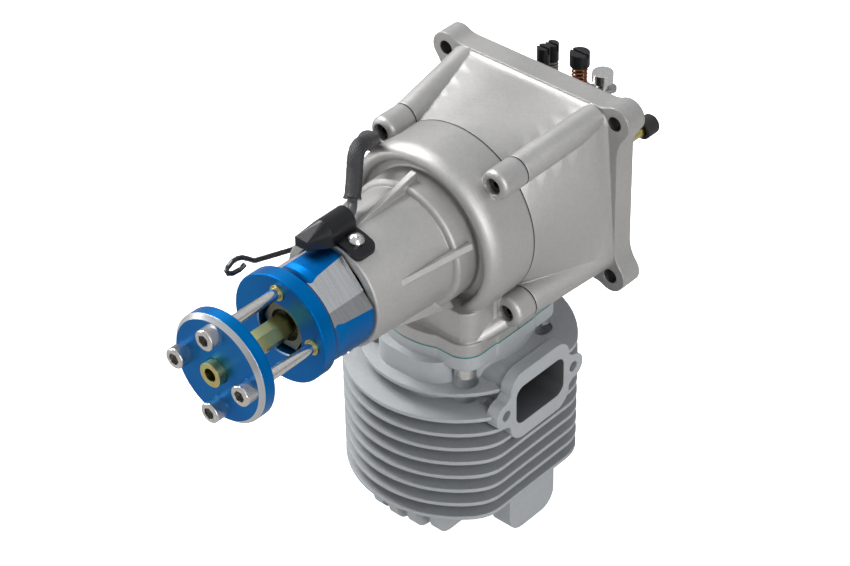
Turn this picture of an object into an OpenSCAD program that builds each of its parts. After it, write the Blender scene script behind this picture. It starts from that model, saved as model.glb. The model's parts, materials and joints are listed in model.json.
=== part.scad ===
// Single-cylinder two-stroke petrol engine for model aircraft, rear carburettor,
// cylinder hanging down. Millimetres. The origin is the centre of the rear mounting
// face on the crank axis, the propeller is towards -Y and the exhaust towards +X.

/* [Mounting flange] */
// Hole spacing across
mount_dx = 77; // [77:0.5:80]
// Hole spacing up and down
mount_dz = 65; // [65:0.5:67]
// Mounting hole diameter
mount_hole_d = 5.5; // [4.5:0.1:6.2]
// Ear radius round each hole
ear_r = 6.2; // [5.8:0.1:6.8]
// Flange thickness
flange_t = 9; // [8:0.5:10]
// Width of the flange between the ears
flange_w = 80; // [79:0.5:81]
// Height of the flange between the ears
flange_h = 73.6; // [73:0.2:74.4]

/* [Crankcase] */
// Distance from the mounting face to the split
split_d = 46; // [45.5:0.1:46.5]
// Outer radius of the round case
case_r = 33.8; // [33.4:0.1:34.4]
// Radius of the crank chamber
chamber_r = 31; // [30.8:0.1:31.3]
// Gasket thickness at every case joint
gasket_t = 0.5; // [0.4:0.05:0.7]
// Sideways place of the case screws
boss_x = 25.4; // [25.2:0.05:25.8]
// Height of the upper case screws
boss_z = 26.6; // [26.4:0.1:27]
// Radius of the screw bosses
boss_r = 5.6; // [5.3:0.1:6]
// Case screw shank diameter
case_screw_d = 4; // [3.5:0.1:4.2]

/* [Nose] */
// Distance from the mounting face to the nose front
nose_d = 111.6; // [111.2:0.1:112]
// Nose radius at its front
nose_r = 20.9; // [20.6:0.1:21.2]
// Nose radius at its root
nose_root_r = 22.6; // [22.5:0.1:23]
// Radius of the raised ring round the root
ring_r = 24.8; // [24.4:0.1:25.2]
// Number of nose ribs
rib_count = 5; // [4:1:6]
// Rib thickness
rib_t = 2.4; // [1.8:0.1:3]

/* [Propeller hub] */
// Radius of the hub's front flange
hub_flange_r = 20.6; // [20.2:0.1:21.2]
// Radius of the hub body
hub_r = 19.7; // [19.4:0.1:20]
// Hub length
hub_len = 25.2; // [24.6:0.1:25.8]
// Gap between hub and nose
hub_gap = 0.5; // [0.3:0.1:0.8]
// Distance of the wrench flats from the axis
flat_d = 17; // [16.6:0.1:17.6]
// Radius of the front recess
recess_r = 9.9; // [9.6:0.1:10.4]

/* [Propeller clamp] */
// Gap left for the propeller
prop_gap = 23.2; // [20:0.2:26]
// Washer radius
washer_r = 20.5; // [20:0.1:22]
// Washer thickness
washer_t = 6; // [5:0.2:7]
// Bolt circle diameter
bolt_pcd = 30; // [29:0.2:31]
// Propeller bolt diameter
bolt_d = 4; // [3.8:0.1:4.2]
// Bolt head diameter
bolt_head_d = 7.7; // [7.4:0.1:8]
// Spinner thread core diameter
spinner_d = 5; // [4.8:0.1:5.2]
// Stud width across flats
stud_af = 8; // [7.6:0.1:8.4]

/* [Cylinder] */
// Distance from the mounting face to the cylinder axis
cyl_d = 47; // [46.8:0.1:47.2]
// Cylinder bore diameter
bore_d = 45; // [44.8:0.1:45.2]
// Distance from the crank axis to the cylinder base
base_z = 40; // [39.8:0.1:40.4]
// Base flange thickness
base_t = 5.5; // [5:0.1:6]
// Cylinder bolt spacing, both ways
base_bolt = 41; // [40.6:0.1:41.4]
// Radius of the fins
fin_r = 42.8; // [41:0.2:44]
// Pitch of the fins
fin_pitch = 6.45; // [6.4:0.05:6.5]
// Thickness of the fins
fin_t = 1.5; // [1.5:0.1:2.3]
// Number of full fins
fin_count = 8; // [8:1:8]
// Depth of the vertical head fins
head_fin_h = 13; // [11:0.5:14]
// Pitch of the head fins
head_pitch = 8.3; // [8:0.1:8.6]
// Core diameter of the plug thread
plug_d = 9.2; // [9:0.1:9.6]

/* [Exhaust port] */
// Distance of the exhaust face from the cylinder axis
exh_x = 38; // [37:0.2:39]
// Height of the exhaust centre below the crank axis
exh_z = 61.8; // [61.4:0.1:62.2]
// Port width
port_w = 26.4; // [25:0.2:27]
// Port height
port_h = 16.5; // [15:0.1:17]
// Spacing of the two exhaust bolts
exh_pitch = 37.1; // [36.6:0.1:38]
// Core diameter of the exhaust bolt threads
exh_bolt_d = 4.2; // [4:0.1:4.6]

/* [Crank train] */
// Piston stroke
stroke = 38; // [37.6:0.1:38]
// Connecting rod length between centres
rod_len = 66; // [65.5:0.1:66.5]
// Connecting rod width
rod_w = 10; // [9.6:0.1:10]
// Crankpin diameter
pin_d = 12; // [11.6:0.1:12.4]
// Wrist pin diameter
wrist_d = 11; // [10.6:0.1:11.4]
// Height of the crown below the wrist pin
crown_h = 22; // [21.5:0.1:22.3]
// Length of the skirt above the wrist pin
skirt_h = 13; // [12.5:0.1:13.2]
// Radial gap of every running fit
run_gap = 0.08; // [0.05:0.01:0.1]

/* [Bearings] */
// Shaft diameter in the bearings
shaft_d = 17; // [16.8:0.1:17]
// Front bearing outer diameter
front_od = 35; // [34.6:0.1:35.2]
// Front bearing width
front_w = 10; // [9.6:0.1:10.2]
// Main bearing outer diameter
main_od = 40; // [39.6:0.1:40.2]
// Main bearing width
main_w = 12; // [11.8:0.1:12]

/* [Carburettor] */
// Width of the carburettor body
carb_w = 32; // [31.8:0.1:32.4]
// Height of the carburettor body
carb_h = 26; // [25.8:0.1:26.4]
// Length of the body
carb_len = 30; // [29.8:0.1:30.4]
// Throttle bore diameter
throttle_d = 14; // [13.4:0.1:14]
// Choke bore diameter
choke_d = 16.4; // [16:0.1:16.6]
// Shaft diameter
spindle_d = 5; // [4.6:0.1:5.2]
// Diameter of the choke pull wire
wire_d = 1.9; // [1.6:0.1:2]

/* [Hidden] */
$fn = 96;
eps = 0.01;
cast_grey = [0.66, 0.65, 0.63];
cyl_grey = [0.60, 0.62, 0.63];
anodised = [0.0, 0.38, 0.78];
steel = [0.72, 0.72, 0.72];
dark = [0.08, 0.08, 0.09];
brass = [0.80, 0.65, 0.30];

split_y = -split_d;
cyl_y = -cyl_d;
nose_y = -nose_d;
hub_back = nose_y - hub_gap;
hub_y = hub_back - hub_len;
washer_back = hub_y - prop_gap;
washer_y = washer_back - washer_t;
fin_z0 = -62.15;
deck_z = -base_z;
bolt_reach = 4.2;
skirt_r = bore_d / 2 + 0.4;
flange_top = deck_z - gasket_t;
flange_low = flange_top - base_t;
crank_throw = stroke / 2;
wrist_z = -crank_throw - rod_len;
crown_z = wrist_z - crown_h;
bore_r = bore_d / 2;
barrel_r = bore_r + 4.8;
spigot_r = bore_r + 1.6;
squish = 0.9;
dome_z = crown_z - squish;
fin_flat = exh_x - 0.6;
head_z = fin_z0 - (fin_count - 1) * fin_pitch;
head_low = head_z - head_fin_h;
rim_y = -68;
dish_y = -64.3;
wall_y = -61.8;
web_front = wall_y + 0.8;
rod_front = cyl_y - rod_w / 2;
web_back = rod_front - 0.3;
main_y = wall_y - main_w;
front_y = nose_y + 1;
boss_front = -58.3;
low_boss = [29, -27];
low_boss_front = -55.5;
low_boss_r = 6;
reed_y = -12;
block_y = -8;
carb_y = 0;
carb_back = carb_y + carb_len;
throttle_y = 8.5;
choke_y = 24.2;
intake_at = [-4, 0, -6.5];
needle_x = -13.5;
needle_y = [20.4, 25.5];
needle_top = [33.8, 32.9];
needle_lug = 20;
idle_at = [1.3, 23];
idle_lug = 22;
block_screw_x = 19.5;
carb_bolt_x = 12.3;
insert_r = bolt_d / 2 + 0.9;
rib_back = rim_y - 1.5;
rib_top = 27.6;

function arc(c, r, a0, a1, n = 8) =
    [for (k = [0:n]) let (a = a0 + (a1 - a0) * k / n) c + [r[0] * cos(a), r[1] * sin(a)]];

// Outline in X and Z, extruded from y0 back to y1
module along_y(y0, y1) translate([0, y1, 0]) rotate([90, 0, 0]) linear_extrude(y1 - y0) children();
// Outline in X and Y, extruded from z0 up to z1
module along_z(z0, z1) translate([0, 0, z0]) linear_extrude(z1 - z0) children();
// Outline of radius and Y, turned about the crank axis
module turn_y(a = 360) rotate([-90, 0, 0]) rotate_extrude(angle = a) children();
module rod_y(r, y0, y1, x = 0, z = 0) translate([x, y1, z]) rotate([90, 0, 0]) cylinder(r = r, h = y1 - y0);
module rod_z(r, z0, z1, x = 0, y = 0) translate([x, y, z0]) cylinder(r = r, h = z1 - z0);
module rod_x(r, x0, x1, y = 0, z = 0) translate([x0, y, z]) rotate([0, 90, 0]) cylinder(r = r, h = x1 - x0);
module box(a, b) translate(a) cube(b - a);
module hex_y(af, y0, y1, x = 0, z = 0)
    translate([x, y1, z]) rotate([90, 0, 0]) cylinder(r = af / sqrt(3), h = y1 - y0, $fn = 6);

// Rounded rectangle made of true arcs
module rrect(w, h, r) {
    square([w, h - 2 * r], center = true);
    square([w - 2 * r, h], center = true);
    for (x = [-1, 1], y = [-1, 1]) translate([x * (w / 2 - r), y * (h / 2 - r)]) circle(r);
}

// Tube swept along points: rings of n sides in planes across the path
function dir(p, k) = let (a = p[max(k - 1, 0)], b = p[min(k + 1, len(p) - 1)], d = b - a) d / norm(d);
function ring(c, d, r, n, up) = let (u = cross(d, up), s = u / norm(u), t = cross(s, d))
    [for (j = [0:n - 1]) c + r * (cos(360 * j / n) * s + sin(360 * j / n) * t)];
module sweep(p, r, n = 8, up = [0.31, 0.2, 0.93]) {
    m = len(p);
    pts = [for (k = [0:m - 1]) each ring(p[k], dir(p, k), r, n, up)];
    sides = [for (k = [0:m - 2], j = [0:n - 1])
        [k * n + j, k * n + (j + 1) % n, (k + 1) * n + (j + 1) % n, (k + 1) * n + j]];
    ends = [[for (j = [n - 1:-1:0]) j], [for (j = [0:n - 1]) (m - 1) * n + j]];
    polyhedron(pts, concat(sides, ends));
}

// Catmull-Rom points between hand-chosen ones
function bend(p, k, t) = let (a = p[max(k - 1, 0)], b = p[k], c = p[k + 1], d = p[min(k + 2, len(p) - 1)])
    0.5 * (2 * b + (c - a) * t + (2 * a - 5 * b + 4 * c - d) * t * t + (3 * b - a - 3 * c + d) * t * t * t);
function smooth(p, n) = concat([for (k = [0:len(p) - 2], t = [0:n - 1]) bend(p, k, t / n)], [p[len(p) - 1]]);

// Mounting flange outline: plate, four ears and the hollow fillets beside them
module ear_fillet(edge, side, f) {
    e = [mount_dx / 2, mount_dz / 2];
    h = edge - e[side] + f;
    c = e[1 - side] - sqrt((ear_r + f) * (ear_r + f) - h * h);
    flip = side == 0 ? [[0, 1], [1, 0]] : [[1, 0], [0, 1]];
    difference() {
        polygon([for (q = [[c, edge - 1], [c, edge + f], [e[1 - side], e[side]], [e[1 - side], edge - 1]]) flip * q]);
        translate(flip * [c, edge + f]) circle(f);
    }
}
module flange_outline() {
    square([flange_w, flange_h], center = true);
    for (x = [0, 1], z = [0, 1]) mirror([x, 0]) mirror([0, z]) {
        translate([mount_dx / 2, mount_dz / 2]) circle(ear_r);
        ear_fillet(flange_h / 2, 1, 9);
        ear_fillet(flange_w / 2, 0, 14);
    }
}

// Outline of the cylinder seat, shared by case, gasket and cylinder
module base_outline(inset = 0) translate([0, cyl_y]) {
    rrect(base_bolt + 12 - 2 * inset, base_bolt + 11 - 2 * inset, 8 - inset);
    intersection() {
        circle(28.7 - inset);
        square([54 - 2 * inset, 80], center = true);
    }
}
// Frame of everything behind the crank chamber: its bore lies a little low and to the left
module at_intake() translate(intake_at) children();
module base_bolts_at() for (x = [-1, 1], y = [-1, 1]) translate([x * base_bolt / 2, cyl_y + y * base_bolt / 2, 0]) children();
module bosses_at() {
    for (x = [-1, 1]) translate([x * boss_x, 0, boss_z]) children(0);
    for (x = [-1, 1]) translate([x * low_boss[0], 0, low_boss[1]]) children(1);
}

module front_half_profile() polygon(concat(
    [[0, nose_y], [nose_r - 0.5, nose_y], [nose_r, nose_y + 0.5], [nose_root_r, -76]],
    arc([nose_root_r, -74.2], [ring_r - nose_root_r, 1.6], -90, 0, 5),
    [[ring_r, dish_y - 1]],
    arc([ring_r + 1, dish_y - 1], [1, 1], 180, 90, 4),
    arc([27.3, dish_y - 1], [1, 1], 90, 0, 4),
    arc([30.4, rim_y + 2.1], [2.1, 2.1], 180, 270, 6),
    arc([30.4, rim_y + 6.1], [case_r - 30.4, 6.1], -90, 0, 7),
    [[case_r, split_y - gasket_t / 2], [0, split_y - gasket_t / 2]]));

module rounded_boss(r, y0, y1, e = 2.2) turn_y() polygon(concat([[0, y0]], arc([r - e, y0 + e], [e, e], -90, 0, 6), [[r, y1], [0, y1]]));

// One triangular nose rib, standing on the crank axis towards +X
module rib() {
    tip_y = nose_y + 11;
    along_z(-rib_t / 2, rib_t / 2)
        polygon([[nose_r - 1.5, tip_y - 4], [nose_r + 0.25, tip_y], [rib_top, rib_back], [nose_r - 1.5, rib_back]]);
}

module front_crankcase() color(cast_grey) difference() {
    union() {
        turn_y() front_half_profile();
        for (k = [0:rib_count - 1]) rotate([0, -90 - 360 / rib_count * k, 0]) rib();
        bosses_at() {
            rounded_boss(boss_r, boss_front, split_y - gasket_t / 2);
            rounded_boss(low_boss_r, low_boss_front, split_y - gasket_t / 2);
        }
        intersection() {
            union() {
                along_z(deck_z, deck_z + 5.2) base_outline();
                along_z(deck_z, -22) base_outline(1.2);
            }
            union() {
                box([-40, -90, deck_z], [40, split_y - gasket_t / 2, deck_z + 5.2]);
                box([-40, cyl_y - skirt_r - 1.3, deck_z], [40, split_y - gasket_t / 2, -22]);
            }
        }
        for (s = [-1, 1]) hull() {
            translate([s * (low_boss[0] - 1), low_boss_front + 5.4, low_boss[1] - 4]) sphere(3.2, $fn = 24);
            translate([s * (base_bolt / 2 + 1), cyl_y - base_bolt / 2 - 1, deck_z + 3.5]) sphere(3, $fn = 24);
            translate([s * (base_bolt / 2 + 3), cyl_y - 10, deck_z + 3]) sphere(2.5, $fn = 24);
        }
    }
    rod_y(chamber_r, wall_y, split_y + 1);
    rod_y(main_od / 2 + 0.02, main_y, wall_y + 1);
    rod_y(16, main_y - 6.5, main_y + 1);
    rod_y(13.5, nose_y - 1, main_y);
    along_y(wall_y, split_y + 1) translate([-21, -34]) square([42, 16]);
    rod_y(front_od / 2 + 0.02, nose_y - 1, front_y + front_w);
    rod_z(spigot_r + 0.25, deck_z - 5, deck_z + 4.3, 0, cyl_y);
    rod_z(skirt_r, deck_z, -32.5, 0, cyl_y);
    base_bolts_at() rod_z(2.1, deck_z - 1, deck_z + bolt_reach + 0.3);
    bosses_at() {
        union() {
            rod_y(case_screw_d / 2 + 0.2, boss_front + 5, split_y);
            rod_y(3.2, boss_front - 1, boss_front + 6);
        }
        union() {
            rod_y(case_screw_d / 2 + 0.2, low_boss_front + 5, split_y);
            rod_y(3.2, low_boss_front - 1, low_boss_front + 6);
        }
    }
    bracket_screw_place() rod_z(1.35, -6, 0);
}

// Section of the rear case at the flange: six rounded corners, [x, z, radius, flare], walked
// round from the lower right, with points on the straight edges between them
fairing_corners = [[27, -31, 3.5, 1.2], [33.5, -24, 6, 0.4], [29.5, 30, 5.3, 1], [-29.5, 30, 5.3, 1], [-33.5, -24, 6, 0.4],
    [-27, -31, 3.5, 1.2]];
function corner(k, f) = let (c = fairing_corners[(k + 6) % 6]) [[c[0], c[1]], c[2] + f * c[3]];
function tangent_a(a, b) = let (d = b[0] - a[0]) atan2(d[1], d[0]) - acos((a[1] - b[1]) / norm(d));
function rim_point(c, a) = c[0] + c[1] * [cos(a), sin(a)];
function fairing_section(f) = [for (k = [0:5]) let (c = corner(k, f), a0 = tangent_a(corner(k - 1, f), c),
    a1 = tangent_a(c, corner(k + 1, f)), turn = ((a1 - a0) % 360 + 360) % 360, p = rim_point(c, a1),
    q = rim_point(corner(k + 1, f), a1)) each concat([for (j = [0:4]) rim_point(c, a0 + turn * j / 4)],
    [for (j = [1:4]) p + (q - p) * j / 5])];

// Rear case body: a circle at the split, faired to that section and flared onto the flange
module fairing() {
    y0 = split_y + gasket_t / 2;
    // Each ring: place along Y, share of the flange section, share of the flare
    rings = concat([for (k = [0:5]) [y0 + (-12 - y0) * k / 5, 0.98 * k / 5, 0]],
        [[-10.4, 1, 0.25], [-flange_t - 0.4, 1, 0.7], [-flange_t + 0.5, 1, 1]]);
    m = len(fairing_section(0));
    pts = [for (g = rings) let (sec = fairing_section(g[2])) for (p = sec)
        let (q = p * g[1] + (1 - g[1]) * case_r * p / norm(p)) [q[0], g[0], q[1]]];
    n = len(rings);
    sides = [for (k = [0:n - 2], j = [0:m - 1])
        each [[k * m + j, k * m + (j + 1) % m, (k + 1) * m + (j + 1) % m], [k * m + j, (k + 1) * m + (j + 1) % m, (k + 1) * m + j]]];
    last = (n - 1) * m;
    caps = [for (j = [0:m - 1]) each [[n * m, (j + 1) % m, j], [n * m + 1, last + j, last + (j + 1) % m]]];
    polyhedron(concat(pts, [[0, rings[0][0], 0], [0, rings[n - 1][0], 0]]), concat(sides, caps));
}

// Ridge from a case screw back to a flange corner
module ridge(from, to, r0, r1) {
    d = to - from;
    translate(from) rotate([0, acos(d[2] / norm(d)), atan2(d[1], d[0])]) translate([0, 0, -3])
        cylinder(r1 = r0 + 3 * (r0 - r1) / norm(d), r2 = r1, h = norm(d) + 3);
}

module rear_crankcase() color(cast_grey) difference() {
    y0 = split_y + gasket_t / 2;
    union() {
        fairing();
        along_y(-flange_t, 0) flange_outline();
        intersection() {
            for (s = [-1, 1]) {
                ridge([s * boss_x, y0, boss_z], [s * 29.5, -flange_t + 0.5, 31.5], boss_r, 5.3);
                ridge([s * low_boss[0], y0, low_boss[1]], [s * 34.3, -flange_t + 0.5, -24.5], low_boss_r, 5.6);
            }
            box([-50, y0, -50], [50, -flange_t + 1, 50]);
        }
        intersection() {
            union() {
                along_z(deck_z, deck_z + 5.2) base_outline();
                along_z(deck_z, -22) base_outline(1.2);
            }
            box([-40, y0, deck_z], [40, 0, -22]);
        }
    }
    rod_y(chamber_r, y0 - 1, -36);
    along_y(y0 - 1, -36) translate([-21, -34]) square([42, 16]);
    at_intake() along_y(-37, reed_y + 1) rrect(30, 28, 3);
    along_y(reed_y, 1) rrect(66, 60, 5);
    rod_z(spigot_r + 0.25, deck_z - 5, -32.5, 0, cyl_y);
    base_bolts_at() rod_z(2.1, deck_z - 1, deck_z + bolt_reach + 0.3);
    for (x = [-1, 1]) {
        rod_y(case_screw_d / 2 + 0.05, y0 - 1, y0 + 16, x * boss_x, boss_z);
        rod_y(case_screw_d / 2 + 0.05, y0 - 1, y0 + 16, x * low_boss[0], low_boss[1]);
        at_intake() rod_y(2.05, reed_y - 7, reed_y + 1, x * block_screw_x, 0);
        for (z = [-1, 1]) rod_y(mount_hole_d / 2, -flange_t - 6, 1, x * mount_dx / 2, z * mount_dz / 2);
    }
}

module crankcase_gasket() color(dark) along_y(split_y - gasket_t / 2, split_y + gasket_t / 2) difference() {
    union() {
        circle(case_r);
        for (x = [-1, 1]) {
            translate([x * boss_x, boss_z]) circle(boss_r);
            translate([x * low_boss[0], low_boss[1]]) circle(low_boss_r);
        }
        translate([-26.5, deck_z + 0.2]) square([53, 18]);
    }
    circle(chamber_r + 0.2);
    translate([-spigot_r - 0.3, deck_z - 1]) square([2 * spigot_r + 0.6, 20]);
    for (x = [-1, 1]) {
        translate([x * boss_x, boss_z]) circle(case_screw_d / 2 + 0.2);
        translate([x * low_boss[0], low_boss[1]]) circle(case_screw_d / 2 + 0.2);
    }
}

module socket_screw(front, shank_end, r, head_r, head_h, key) difference() {
    union() {
        rod_y(r, front, shank_end);
        turn_y() polygon(concat([[0, front]], arc([head_r - 0.6, front + 0.6], [0.6, 0.6], -90, 0, 4),
            [[head_r, front + head_h], [0, front + head_h]]));
    }
    hex_y(key, front - 1, front + head_h * 0.6);
}
module case_screws() color(dark) bosses_at() {
    socket_screw(boss_front + 2, split_y + 15, case_screw_d / 2, 3, 4, 2.5);
    socket_screw(low_boss_front + 2, split_y + 15, case_screw_d / 2, 3, 4, 2.5);
}

// Fin outline: a disc cut flat towards the exhaust, its corners rounded
module fin_outline(flat_x, r = fin_r, c = 15) translate([0, cyl_y]) {
    k = sqrt((r - c) * (r - c) - (flat_x - c) * (flat_x - c));
    tangent_x = (flat_x - c) * r / (r - c);
    intersection() {
        circle(r);
        translate([-r, -r]) square([r + tangent_x, 2 * r]);
    }
    for (s = [-1, 1]) translate([flat_x - c, s * k]) circle(c - 0.04);
    translate([0, -k]) square([flat_x, 2 * k]);
}

// Vertical head fin seen from the side, its lower corners rounded
module head_fin(x, half, t, low = head_low) translate([x - t / 2, 0, 0]) rotate([90, 0, 90]) linear_extrude(t) translate([cyl_y, 0])
    polygon(concat([[-half, head_z + 1]], arc([-half + 7, low + 7], [7, 7], 180, 270, 6),
        arc([half - 7, low + 7], [7, 7], 270, 360, 6), [[half, head_z + 1]]));

module exhaust_outline() {
    rrect(32.4, 29.4, 7);
    for (s = [-1, 1]) {
        translate([s * exh_pitch / 2, 0]) circle(5.3);
        polygon([[s * exh_pitch / 2, -5.2], [s * 13, -9.5], [s * 13, 9.5], [s * exh_pitch / 2, 5.2]]);
    }
}

module finned_cylinder() color(cyl_grey) difference() {
    union() {
        along_z(flange_low, flange_top) base_outline();
        rod_z(spigot_r, flange_low, deck_z + 4, 0, cyl_y);
        rod_z(barrel_r, head_z - 5.5, flange_low + 1, 0, cyl_y);
        for (k = [0:fin_count - 1]) translate([0, 0, fin_z0 - k * fin_pitch])
            linear_extrude(fin_t) fin_outline(fin_flat - 2 * k / (fin_count - 1));
        along_z(fin_z0 + fin_pitch, fin_z0 + fin_pitch + fin_t) {
            translate([0, cyl_y]) circle(norm([base_bolt, base_bolt]) / 2 + 7.4);
            intersection() {
                fin_outline(fin_flat);
                translate([-50, cyl_y + 9]) square([100, 60]);
            }
        }
        along_z(fin_z0, flange_low + 1) {
            translate([0, cyl_y - 15.5]) rrect(36, 32, 13);
            translate([0, cyl_y + 15.5]) rrect(33, 31, 7);
        }
        along_z(fin_z0, flange_low + 1) translate([-15.5, cyl_y]) rrect(31, 30, 7);
        translate([0, cyl_y, -exh_z - 0.4]) rotate([90, 0, 90]) {
            linear_extrude(exh_x - 3) rrect(30, 26, 6);
            translate([0, 0, exh_x - 5]) linear_extrude(5) exhaust_outline();
        }
        for (x = [-2:2]) head_fin(x * head_pitch, sqrt(38 * 38 - x * x * head_pitch * head_pitch), 4.2);
        head_fin(-28.6, 12.5, 5);
        head_fin(30.2, 12.5, 8.6, head_low - 4);
        rod_z(13, head_low + 0.4, head_z + 1, 0, cyl_y);
    }
    rod_z(bore_r, dome_z + 0.4, deck_z + 5, 0, cyl_y);
    translate([0, cyl_y, 0]) rotate_extrude() polygon([[0, dome_z - 5], [8, dome_z - 4.4], [15, dome_z - 2.4], [20, dome_z + 0.4],
        [20, dome_z + 1], [0, dome_z + 1]]);
    rod_z(plug_d / 2, head_low - 1, dome_z, 0, cyl_y);
    rod_z(10.5, head_low - 1, head_low + 2, 0, cyl_y);
    translate([0, cyl_y, -exh_z - 0.4]) rotate([90, 0, 90]) {
        linear_extrude(exh_x + 1) rrect(port_w, port_h, 4);
        for (s = [-1, 1]) translate([s * exh_pitch / 2, 0, exh_x - 11]) cylinder(r = exh_bolt_d / 2, h = 12);
    }
    for (s = [-1, 1]) translate([0, cyl_y + s * 23.5, 0]) along_z(-74, flange_low - 3) rrect(22, 10, 3);
    translate([-23.5, cyl_y, 0]) along_z(-74, flange_low - 3) rrect(10, 20, 3);
    base_bolts_at() {
        rod_z(2.7, flange_low - 1, flange_top + 1);
        rod_z(4.6, fin_z0 - 1, flange_low);
    }
}

module cylinder_gasket() color([0.0, 0.42, 0.36]) along_z(flange_top, deck_z) difference() {
    base_outline();
    translate([0, cyl_y]) circle(spigot_r + 0.15);
    for (x = [-1, 1], y = [-1, 1]) translate([x * base_bolt / 2, cyl_y + y * base_bolt / 2]) circle(2.6);
}

module cylinder_bolts() color(steel) base_bolts_at() difference() {
    union() {
        rod_z(2.05, flange_low, deck_z + bolt_reach);
        rod_z(4.1, flange_low - 4.6, flange_low);
    }
    translate([0, 0, flange_low - 4.7]) cylinder(r = 2.3, h = 2.6, $fn = 6);
}

// Frame standing on the nose at the bracket screw, its Z pointing outwards
bracket_r = nose_r + 1.9;
module bracket_screw_place() rotate([0, 16.5, 0]) translate([0, nose_y + 5.6, bracket_r]) children();

module sensor_bracket() color(dark) difference() {
    intersection() {
        turn_y() translate([nose_r + 0.55, nose_y - 2]) square([1.35, 15]);
        rotate([0, 5.5, 0]) along_z(10, 30) translate([0, nose_y]) polygon(concat(
            [[-10.2, 0], [-10.2, 10.6]], arc([7.4, 7.8], [2.8, 2.8], 90, 0, 6), arc([7.4, 2.8], [2.8, 2.8], 0, -90, 6)));
    }
    bracket_screw_place() rod_z(1.65, -6, 5);
}

module bracket_screw() color(brass) bracket_screw_place() difference() {
    union() {
        rod_z(1.25, -5, 0.5);
        intersection() {
            translate([0, 0, -1.2]) sphere(3.6);
            rod_z(2.9, 0.05, 3);
        }
    }
    translate([0, 0, 1.1]) cylinder(r = 1.15, h = 3, $fn = 6);
}

// Sensor: a thin nose over the hub, deepening to the round lead exit
sensor_z = 21.2;
sensor_tail = -101.8;
tail_x = -1.8;
tail_z = 25;
tail_r = 4.75;
lead_r = 1.7;
sleeve_r = 2.9;
module sensor_section(y0, y1) {
    box([tail_x - tail_r, y0, sensor_z], [tail_x + tail_r, y1, tail_z]);
    rod_y(tail_r - 0.03, y0, y1, tail_x, tail_z);
}
module hall_sensor() color(dark) {
    hull() {
        box([-7.6, -120.4, sensor_z], [-2, -119.4, sensor_z + 3.6]);
        sensor_section(nose_y - 1.6, nose_y - 1, $fn = 24);
    }
    difference() {
        sensor_section(nose_y - 1.2, sensor_tail);
        rod_y(bracket_r + 0.02, nose_y - 0.5, -90);
        rod_y(lead_r + 0.06, sensor_tail - 2, sensor_tail + 1, tail_x, tail_z);
    }
}

// Lead: leaves the sensor, climbs inside its braided sleeve, passes over the case
// shoulder and runs back along the side away from the exhaust to a plug behind the flange
lead_points = [[tail_x, sensor_tail - 1.9, tail_z], [tail_x, sensor_tail, tail_z], [-2.4, -99, 25], [-3.9, -96.3, 25.4],
    [-5.3, -94.7, 26.1]];
sleeve_points = [[-6, -94, 26.6], [-7.8, -91.2, 30.1], [-9.7, -88.5, 33.9], [-10.9, -86.6, 37.4],
    [-12.6, -83.2, 39], [-15.1, -77.5, 36.9], [-20.4, -69, 31.3], [-27, -63.8, 26.5], [-33, -58.5, 20], [-37.2, -51, 13.5],
    [-39.2, -44, 8], [-39.5, -40, 6.4], [-39.5, -34, 6], [-40.6, -26, 4.6], [-42.6, -17, 2], [-43.9, -7, 0.2],
    [-43.5, 4, -1.5], [-41.8, 11, -4]];
tail_points = [[-41.7, 11.4, -4.2], [-41.5, 12, -4.5], [-40.2, 16.5, -7], [-38.2, 20.5, -10], [-36.6, 24, -12.1],
    [-36.3, 25.2, -12.4], [-36.3, 25.9, -12.4]];
plug_at = [-36.3, 26, -12.4];
clip_at = [-39.5, -36, 6.1];
module sensor_lead() color(dark) sweep(lead_points, lead_r);
module sensor_sleeve() color(dark) sweep(smooth(sleeve_points, 2), sleeve_r, 10);
module lead_tail() color(dark) sweep(tail_points, lead_r);
module sensor_plug() color(dark) translate(plug_at) {
    box([-3.7, 0, -1.6], [3.7, 14, 1.6]);
    box([-2.7, 14, -1.1], [2.7, 16, 1.1]);
}
module lead_clip() color(dark) difference() {
    translate(clip_at) difference() {
        union() {
            rod_y(4.2, -2.5, 2.5);
            translate([0, -2.5, -4.2]) cube([7, 5, 2.6]);
        }
        rod_y(sleeve_r + 0.3, -4, 4);
        translate([-5, -4, -1]) cube([4, 8, 2]);
    }
    translate([-0.03, 0, 0]) fairing();
}

// Ball bearing parts, shared by both bearings
function ball_pitch(od) = (od + shaft_d) / 4;
function ball_r(od) = (od - shaft_d) / 2 * 0.3;
module race_ring(r0, r1, y, w, od) difference() {
    turn_y() translate([r0, y]) square([r1 - r0, w]);
    turn_y() translate([ball_pitch(od), y + w / 2]) circle(ball_r(od) + run_gap, $fn = 48);
}
module bearing_outer(od, y, w) color(steel) race_ring(ball_pitch(od) + ball_r(od) * 0.55, od / 2, y, w, od);
module bearing_inner(od, y, w) color(steel) race_ring(shaft_d / 2 + 0.02, ball_pitch(od) - ball_r(od) * 0.55, y, w, od);
module bearing_balls(od, y, w, n = 8) color(brass) {
    r = ball_r(od);
    for (k = [0:n - 1]) rotate([0, 360 / n * k, 0]) translate([ball_pitch(od), y + w / 2, 0]) sphere(r, $fn = 32);
    turn_y() translate([ball_pitch(od) - 0.35 * r, y + w / 2 - 0.5]) square([0.7 * r, 1]);
}
module front_bearing_outer() bearing_outer(front_od, front_y, front_w);
module front_bearing_inner() bearing_inner(front_od, front_y, front_w);
module front_bearing_balls() bearing_balls(front_od, front_y, front_w);
module main_bearing_outer() bearing_outer(main_od, main_y, main_w);
module main_bearing_inner() bearing_inner(main_od, main_y, main_w);
module main_bearing_balls() bearing_balls(main_od, main_y, main_w);

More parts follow.
